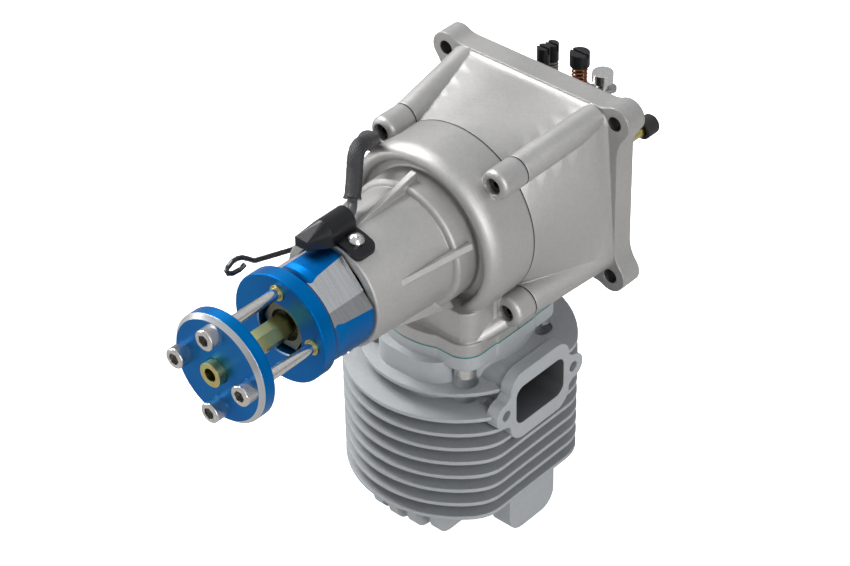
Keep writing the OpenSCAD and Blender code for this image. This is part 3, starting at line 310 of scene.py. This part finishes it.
def hub_shade(t, x, y, z, r, n):
    """Painted shade inside the front recess; the lower part of the front flat, a deeper cut, is darker."""
    inside = t.times(t.under(r, RECESS_R), t.over(y, RECESS_FRONT_Y), 0.93)
    angle = math.radians(HUB_FLATS[0])
    across = t.math("SUBTRACT", t.times(z, math.cos(angle)), t.times(x, math.sin(angle)))
    facing = t.over(t.toward(n[0], n[2], HUB_FLATS[0]), FLAT_FACING)
    low = t.times(facing, t.under(across, DEEP_CUT), 0.45)
    return t.math("ADD", inside, low, clamp=True)


def cast_metal(name, base, grain, grain_size, rough, metal, soft, shade=no_shade):
    """Blasted or sand-cast aluminium: fine speckle, slow tone changes, edges softened in the shading."""
    t = Tree(name, rough=rough, metal=metal)
    fine = t.noise(grain_size, 3.0, 0.7)
    mid = t.noise(grain_size * 0.22, 2.0, 0.6)
    slow = t.noise(38, 3.0, 0.55)
    speckle = t.math("ADD", t.range(fine, 0.25, 0.75, -grain, grain),
                     t.range(mid, 0.3, 0.7, -grain * 0.4, grain * 0.4))
    tone = t.math("ADD", speckle, t.range(slow, 0.3, 0.7, 0.97, 1.03))
    bare = t.mix(t.range(tone, 0.7, 1.3), *tints(base, 0.75, 1.25))
    x, y, z = t.xyz()
    # Painted shade: where the shade function gives 1, the colour goes to near-black
    t.colour(t.mix(shade(t, x, y, z, None, None), bare, (0.015, 0.015, 0.016)))
    t.rough(t.range(slow, 0.3, 0.7, rough - 0.05, rough + 0.05))
    t.bump(t.math("ADD", t.times(fine, 0.7), t.times(mid, 0.5)), 0.45, 0.00022, t.bevel(soft))


def plain_metal(name, base, rough, metal=1.0):
    """Machined, drawn or plated metal with fine scratches."""
    t = Tree(name, rough=rough, metal=metal)
    scratches = t.noise(1.0, 3.0, 0.6, t.scaled(900, 900, 900))
    slow = t.noise(60, 2.0, 0.5)
    tone = t.math("ADD", t.range(scratches, 0.3, 0.7, -0.06, 0.06), t.range(slow, 0.3, 0.7, -0.03, 0.03))
    t.colour(t.mix(t.range(tone, -0.15, 0.15), *tints(base, 0.85, 1.12)))
    t.rough(t.range(scratches, 0.3, 0.7, max(0.05, rough - 0.06), rough + 0.08))
    t.bump(scratches, 0.3, 0.00002, t.bevel(0.00015))


def plain_plastic(name, base, rough, spec=0.4):
    """Moulded plastic, rubber, carbon sheet or gasket with a fine grain."""
    t = Tree(name, rough=rough, spec=spec)
    grain = t.noise(1400, 2.0, 0.6)
    slow = t.noise(90, 2.0, 0.5)
    t.colour(t.mix(t.range(slow, 0.3, 0.7), *tints(base, 0.8, 1.25, 0.004)))
    t.rough(t.range(slow, 0.3, 0.7, rough - 0.05, rough + 0.07))
    t.bump(grain, 0.35, 0.00004, t.bevel(0.0003))


def yellow_zinc():
    """Chromated plating: yellow with slow green and pink patches."""
    t = Tree("yellow_zinc", rough=0.28, metal=1.0)
    patches = t.noise(260, 2.0, 0.6)
    pink = t.noise(420, 2.0, 0.5, t.scaled(1, 0.35, 1))
    base = t.mix(t.range(patches, 0.35, 0.65), (0.62, 0.48, 0.16), (0.52, 0.56, 0.22))
    t.colour(t.mix(t.range(pink, 0.55, 0.75, 0.0, 0.55), base, (0.60, 0.30, 0.26)))
    t.bump(t.noise(2200, 2.0), 0.3, 0.00003, t.bevel(0.00015))


def blue_anodised(name, bare, shade):
    """Blue anodising with turning marks; bare gives where metal shows and shade where painted shade makes it
    dark.
    """
    t = Tree(name, rough=0.25, metal=1.0)
    x, y, z = t.xyz()
    r = t.length(x, z)
    n = t.normal()
    radial = t.node("ShaderNodeCombineXYZ")
    t.link(r, radial.inputs[0])
    rings = t.noise(1.0, 2.0, 0.6, t.scaled(40, 5200, 40))
    facing = t.noise(4200, vector=radial.outputs[0])
    marks = t.blend(t.over(t.size(n[1]), 0.7), rings, facing)
    blue = t.mix(t.range(marks, 0.25, 0.75), (0.0, 0.12, 0.41), (0.0, 0.16, 0.51))
    blue = t.mix(t.range(t.noise(70, 2.0), 0.35, 0.65, 0.0, 0.4), blue, (0.0, 0.19, 0.47))
    silver = t.mix(t.range(marks, 0.3, 0.7), (0.52, 0.53, 0.54), (0.68, 0.69, 0.70))
    where = bare(t, x, y, z, r, n)
    # Painted shade: where shade gives 1, the colour goes to near-black
    dark = shade(t, x, y, z, r, n)
    t.colour(t.mix(dark, t.mix(where, blue, silver), (0.02, 0.02, 0.018)))
    t.rough(t.blend(where, t.range(marks, 0.3, 0.7, 0.34, 0.42), t.range(marks, 0.3, 0.7, 0.24, 0.34)))
    t.bump(marks, 0.12, 0.00002, t.bevel(0.00015))


def braided_sleeve():
    """Black expandable braid: crossing flat strands, each paler along its raised middle as a painted grey
    highlight.
    """
    strands = 8
    t = Tree("braided_sleeve", rough=0.45)
    uv = t.node("ShaderNodeUVMap")
    sep = t.node("ShaderNodeSeparateXYZ")
    t.link(uv.outputs[0], sep.inputs[0])
    u, v = sep.outputs[0], sep.outputs[1]
    one_way = t.math("SINE", t.times(t.math("ADD", u, v), 2 * math.pi * strands))
    other_way = t.math("SINE", t.times(t.math("SUBTRACT", u, v), 2 * math.pi * strands))
    height = t.times(t.math("ADD", t.size(one_way), t.size(other_way)), 0.5)
    t.colour(t.mix(t.range(height, 0.2, 0.95), (0.003, 0.003, 0.004), (0.022, 0.022, 0.025)))
    t.bump(t.math("ADD", height, t.times(t.noise(2400, 2.0), 0.2)), 0.7, 0.0003)


def knurled():
    """Bright nickel with a straight knurl round each propeller bolt's head."""
    knurls = 34
    t = Tree("knurled", rough=0.16, metal=1.0)
    x, y, z = t.xyz()
    n = t.normal()
    ax, az = t.size(x), t.size(z)
    sideways = t.math("GREATER_THAN", ax, az)
    u = t.blend(sideways, x, t.math("SUBTRACT", ax, BOLT_OFFSET))
    v = t.blend(sideways, t.math("SUBTRACT", az, BOLT_OFFSET), z)
    wave = t.math("SINE", t.times(t.math("ARCTAN2", v, u), knurls))
    on_side = t.times(t.under(t.size(n[1]), 0.2), t.under(y, HEAD_BACK_Y), t.over(y, HEAD_FRONT_Y))
    marks = t.noise(1500, 2.0)
    t.colour(t.mix(t.range(marks, 0.3, 0.7), (0.60, 0.58, 0.55), (0.74, 0.72, 0.69)))
    ridges = t.times(wave, on_side)
    t.bump(t.math("ADD", ridges, t.times(marks, 0.06)), 0.9, 0.00022, t.bevel(0.00012))


def adjuster_springs():
    """The idle screw's spring is coppered, the two needle springs beside it are plain steel."""
    t = Tree("adjuster_springs", rough=0.3, metal=1.0)
    x, y, z = t.xyz()
    marks = t.noise(1500, 2.0)
    steel = t.mix(marks, (0.34, 0.33, 0.31), (0.46, 0.45, 0.42))
    copper = t.mix(marks, (0.40, 0.14, 0.06), (0.52, 0.22, 0.10))
    t.colour(t.mix(t.over(x, COPPER_FROM_X), steel, copper))
    t.bump(marks, 0.3, 0.00002)


cast_metal("cast_case", (0.40, 0.392, 0.383), grain=0.10, grain_size=2600, rough=0.47, metal=0.72,
           soft=0.0008, shade=hole_shade)
cast_metal("cast_cylinder", (0.36, 0.375, 0.387), grain=0.07, grain_size=1500, rough=0.62, metal=0.45,
           soft=0.0006, shade=port_shade)
cast_metal("carb_alloy", (0.30, 0.31, 0.32), grain=0.06, grain_size=2600, rough=0.42, metal=0.8,
           soft=0.0004)

# Colour, roughness and, where it isn't the usual one, metalness
METALS = {
    "black_steel": ((0.018, 0.018, 0.019), 0.34, 0.5),
    "zinc_steel": ((0.66, 0.65, 0.63), 0.22),
    "bearing_steel": ((0.55, 0.55, 0.56), 0.2),
    "bearing_balls": ((0.62, 0.62, 0.63), 0.12),
    "ground_steel": ((0.52, 0.52, 0.53), 0.25),
    "magnet_nickel": ((0.6, 0.59, 0.56), 0.2),
    "forged_steel": ((0.24, 0.24, 0.25), 0.5),
    "spring_steel": ((0.22, 0.22, 0.23), 0.35),
    "piston_alloy": ((0.5, 0.5, 0.5), 0.35),
    "reed_frame": ((0.3, 0.3, 0.31), 0.5),
    "brass_plate": ((0.55, 0.36, 0.12), 0.3),
    "lever_steel": ((0.34, 0.34, 0.35), 0.3),
    "dark_wire": ((0.06, 0.06, 0.065), 0.3, 0.85),
    "dark_zinc": ((0.16, 0.155, 0.11), 0.34),
}
# Colour, roughness and, where it isn't the usual one, specular level
PLASTICS = {
    "gasket_black": ((0.012, 0.012, 0.013), 0.6),
    "gasket_green": ((0.0, 0.16, 0.13), 0.45),
    "gasket_brown": ((0.12, 0.07, 0.03), 0.8),
    "sensor_plastic": ((0.006, 0.006, 0.007), 0.34, 0.3),
    "black_plate": ((0.005, 0.005, 0.006), 0.3, 0.3),
    "lead_grey": ((0.07, 0.07, 0.075), 0.4),
    "seal_rubber": ((0.012, 0.011, 0.011), 0.55),
    "reed_carbon": ((0.012, 0.012, 0.013), 0.3),
    "insulator": ((0.014, 0.013, 0.012), 0.6),
}
for name, look in METALS.items():
    plain_metal(name, *look)
for name, look in PLASTICS.items():
    plain_plastic(name, *look)
yellow_zinc()
blue_anodised("washer_blue", washer_bare, no_shade)
blue_anodised("hub_blue", hub_bare, hub_shade)
braided_sleeve()
knurled()
adjuster_springs()

# Nodes whose finish is more than their slot's own
OWN_FINISH = {"prop_hub": "hub_blue", "prop_washer": "washer_blue", "prop_bolts": "knurled",
              "screw_springs": "adjuster_springs", "hub_nut": "dark_zinc"}
for sub in frame["record"]["subparts"]:
    o = bpy.data.objects[sub["node"]]
    o.data.materials.clear()
    o.data.materials.append(MATS[OWN_FINISH.get(sub["node"], sub["material_slot"])])


# Rear case: its faired skin shaded as one smooth casting
def softened(node, name, limit):
    """A copy of a node's mesh whose shading is smooth over every edge flatter than the limit, in degrees."""
    me = bpy.data.objects[node].data.copy()
    me.name = name
    bm = bmesh.new()
    bm.from_mesh(me)
    bmesh.ops.remove_doubles(bm, verts=bm.verts, dist=0.00001)
    for f in bm.faces:
        f.smooth = True
    for e in bm.edges:
        e.smooth = len(e.link_faces) == 2 and e.calc_face_angle(0.0) < math.radians(limit)
    bm.to_mesh(me)
    bm.free()
    if "custom_normal" in me.attributes:
        me.attributes.remove(me.attributes["custom_normal"])
    o = bpy.data.objects.new(name, me)
    bpy.context.scene.collection.objects.link(o)
    even = o.modifiers.new("even_shading", "WEIGHTED_NORMAL")
    even.keep_sharp = True
    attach(o, "engine")
    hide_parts(node)


softened("rear_crankcase", "rear_case", 28)


# Sensor lead: its route repeats the points of the part's source, in millimetres
def smooth_path(p, n):
    """A Catmull-Rom curve through the points, with n steps between each two."""
    p = [Vector(q) for q in p]
    out = []
    for k in range(len(p) - 1):
        a, b, c, d = p[max(k - 1, 0)], p[k], p[k + 1], p[min(k + 2, len(p) - 1)]
        for i in range(n):
            u = i / n
            square = (2 * a - 5 * b + 4 * c - d) * u * u
            cube = (3 * b - a - 3 * c + d) * u ** 3
            out.append(0.5 * (2 * b + (c - a) * u + square + cube))
    out.append(p[-1])
    return out


def tube(name, path, radius, sides=20, swell=None):
    """Mesh tube along a path in millimetres, with UVs: u round it, v along it in turns of its girth."""
    me = bpy.data.meshes.new(name)
    bm = bmesh.new()
    uv_layer = bm.loops.layers.uv.new("UVMap")
    rings, run = [], [0.0]
    start = (path[1] - path[0]).normalized()
    side = start.cross(Vector((0.3, 0.2, 0.93))).normalized()
    for k, q in enumerate(path):
        ahead = (path[min(k + 1, len(path) - 1)] - path[max(k - 1, 0)]).normalized()
        side = (side - ahead * side.dot(ahead)).normalized()
        other = ahead.cross(side)
        reach = radius if swell is None else swell(k / (len(path) - 1))
        ring = []
        for j in range(sides):
            turn = 2 * math.pi * j / sides
            spoke = math.cos(turn) * side + math.sin(turn) * other
            ring.append(bm.verts.new((q + reach * spoke) / MM_PER_M))
        rings.append(ring)
        if k > 0:
            run.append(run[-1] + (q - path[k - 1]).length)
    girth = 2 * math.pi * radius
    for k in range(len(rings) - 1):
        here, there = rings[k], rings[k + 1]
        for j in range(sides):
            nxt = (j + 1) % sides
            f = bm.faces.new((here[j], here[nxt], there[nxt], there[j]))
            f.smooth = True
            corners = ((j, k), (j + 1, k), (j + 1, k + 1), (j, k + 1))
            for loop, (step, row) in zip(f.loops, corners):
                loop[uv_layer].uv = (step / sides, run[row] / girth)
    bm.faces.new(list(reversed(rings[0])))
    bm.faces.new(rings[-1])
    bmesh.ops.recalc_face_normals(bm, faces=bm.faces)
    bm.to_mesh(me)
    bm.free()
    o = bpy.data.objects.new(name, me)
    bpy.context.scene.collection.objects.link(o)
    return o


LEAD_R, SLEEVE_R = 1.7, 2.9
LEAD_ROUTE = [(-1.8, -101.8, 25), (-2.4, -99, 25), (-3.9, -96.3, 25.4), (-5.3, -94.7, 26.1)]
SLEEVE_ROUTE = [
    (-6, -94, 26.6), (-7.8, -91.2, 30.1), (-9.7, -88.5, 33.9), (-10.9, -86.6, 37.4), (-12.6, -83.2, 39),
    (-15.1, -77.5, 36.9), (-20.4, -69, 31.3), (-27, -63.8, 26.5), (-33, -58.5, 20), (-37.2, -51, 13.5),
    (-39.2, -44, 8), (-39.5, -40, 6.4), (-39.5, -34, 6), (-40.6, -26, 4.6), (-42.6, -17, 2),
    (-43.9, -7, 0.2), (-43.5, 4, -1.5), (-41.8, 11, -4)]
TAIL_ROUTE = [(-41.7, 11.4, -4.2), (-41.5, 12, -4.5), (-40.2, 16.5, -7), (-38.2, 20.5, -10),
              (-36.6, 24, -12.1), (-36.3, 25.2, -12.4), (-36.3, 25.9, -12.4)]


def sleeve_size(k):
    """The cut end nearest the sensor is frayed a little wider; the rest breathes with the braid."""
    flare = 0.35 * max(0.0, 1 - k / 0.03) ** 2
    return SLEEVE_R + flare + 0.04 * math.sin(180 * k)


whole = smooth_path(LEAD_ROUTE + SLEEVE_ROUTE[1:-1] + TAIL_ROUTE, 6)
lead = tube("sensor_cable", whole, LEAD_R)
lead.data.materials.append(MATS["lead_grey"])
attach(lead, "engine")
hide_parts("sensor_lead", "lead_tail")

sleeve = tube("braided_tube", smooth_path(SLEEVE_ROUTE, 8), SLEEVE_R, 28, sleeve_size)
sleeve.data.materials.append(MATS["braided_sleeve"])
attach(sleeve, "engine")
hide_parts("sensor_sleeve")

# Floor and light
WHITE = (1, 1, 1, 1)
FLOOR_SIZE, FLOOR_GAP = 6, 0.012


def wired(tree, kind, *inputs, **values):
    """A node with its settings and first inputs given, each as a value or a socket to link; its outputs."""
    n = tree.nodes.new(kind)
    for k, v in values.items():
        setattr(n, k, v)
    for i, v in enumerate(inputs):
        if hasattr(v, "is_output"):
            tree.links.new(v, n.inputs[i])
        else:
            n.inputs[i].default_value = v
    return n.outputs


def floor_tree(t):
    """A pale floor that the camera sees as white, and metal and glass as light grey."""
    ray = wired(t, "ShaderNodeLightPath")
    seen = wired(t, "ShaderNodeMath", ray["Is Glossy Ray"], ray["Is Transmission Ray"], operation="MAXIMUM")
    mirrored = wired(t, "ShaderNodeEmission", WHITE, 0.6)
    paint = wired(t, "ShaderNodeBsdfDiffuse", (0.86, 0.86, 0.86, 1))
    glow = wired(t, "ShaderNodeEmission", WHITE, 0.9)
    lit = wired(t, "ShaderNodeAddShader", paint[0], glow[0])
    direct = wired(t, "ShaderNodeMixShader", ray["Is Camera Ray"], paint[0], lit[0])
    both = wired(t, "ShaderNodeMixShader", seen[0], direct[0], mirrored[0])
    wired(t, "ShaderNodeOutputMaterial", both[0])


def world_tree(t):
    """White to the camera and through glass, dark below and pale above in gloss, soft light otherwise."""
    ray = wired(t, "ShaderNodeLightPath")
    seen = wired(t, "ShaderNodeMath", ray["Is Camera Ray"], ray["Is Transmission Ray"], operation="MAXIMUM")
    white = wired(t, "ShaderNodeBackground", WHITE, 1.0)
    soft = wired(t, "ShaderNodeBackground", (0.93, 0.96, 1.0, 1), 0.36)
    place = wired(t, "ShaderNodeSeparateXYZ", wired(t, "ShaderNodeTexCoord")["Generated"])
    height = wired(t, "ShaderNodeMapRange", place[2], -1, 1)
    ramp = t.nodes.new("ShaderNodeValToRGB")
    ends = ((0.30, (0.10, 0.10, 0.11, 1)), (0.85, (0.95, 0.97, 1.0, 1)))
    for element, (position, colour) in zip(ramp.color_ramp.elements, ends):
        element.position = position
        element.color = colour
    t.links.new(height[0], ramp.inputs[0])
    gloss = wired(t, "ShaderNodeBackground", ramp.outputs[0], 0.7)
    unseen = wired(t, "ShaderNodeMixShader", ray["Is Glossy Ray"], soft[0], gloss[0])
    both = wired(t, "ShaderNodeMixShader", seen[0], unseen[0], white[0])
    wired(t, "ShaderNodeOutputWorld", both[0])


bpy.ops.mesh.primitive_plane_add(size=FLOOR_SIZE, location=(0, 0, cad_lo.z - FLOOR_GAP))
floor = bpy.context.object
floor.name = "floor"
floor_paint = bpy.data.materials.new("floor")
floor_paint.use_nodes = True
floor_paint.node_tree.nodes.clear()
floor_tree(floor_paint.node_tree)
floor.data.materials.append(floor_paint)

world = bpy.data.worlds.new("studio")
bpy.context.scene.world = world
world.use_nodes = True
world.node_tree.nodes.clear()
world_tree(world.node_tree)

# Place, width and height in metres, and power in watts
LAMPS = {
    "key_left": ((-0.78, -0.12, 0.78), (0.6, 0.6), 16.0),
    "front_left": ((-0.95, -0.7, 0.0), (0.5, 0.5), 4.5),
    "side_right": ((0.9, -0.3, 0.3), (0.3, 1.1), 8.5),
}
LIT_POINT = Vector((0.0, -0.06, -0.02))
for name, (at, size, power) in LAMPS.items():
    light = bpy.data.lights.new(name, "AREA")
    light.shape = "RECTANGLE"
    light.size, light.size_y = size
    light.energy = power
    o = bpy.data.objects.new(name, light)
    bpy.context.scene.collection.objects.link(o)
    o.location = at
    o.rotation_mode = "QUATERNION"
    o.rotation_quaternion = (LIT_POINT - Vector(at)).to_track_quat("-Z", "Y")
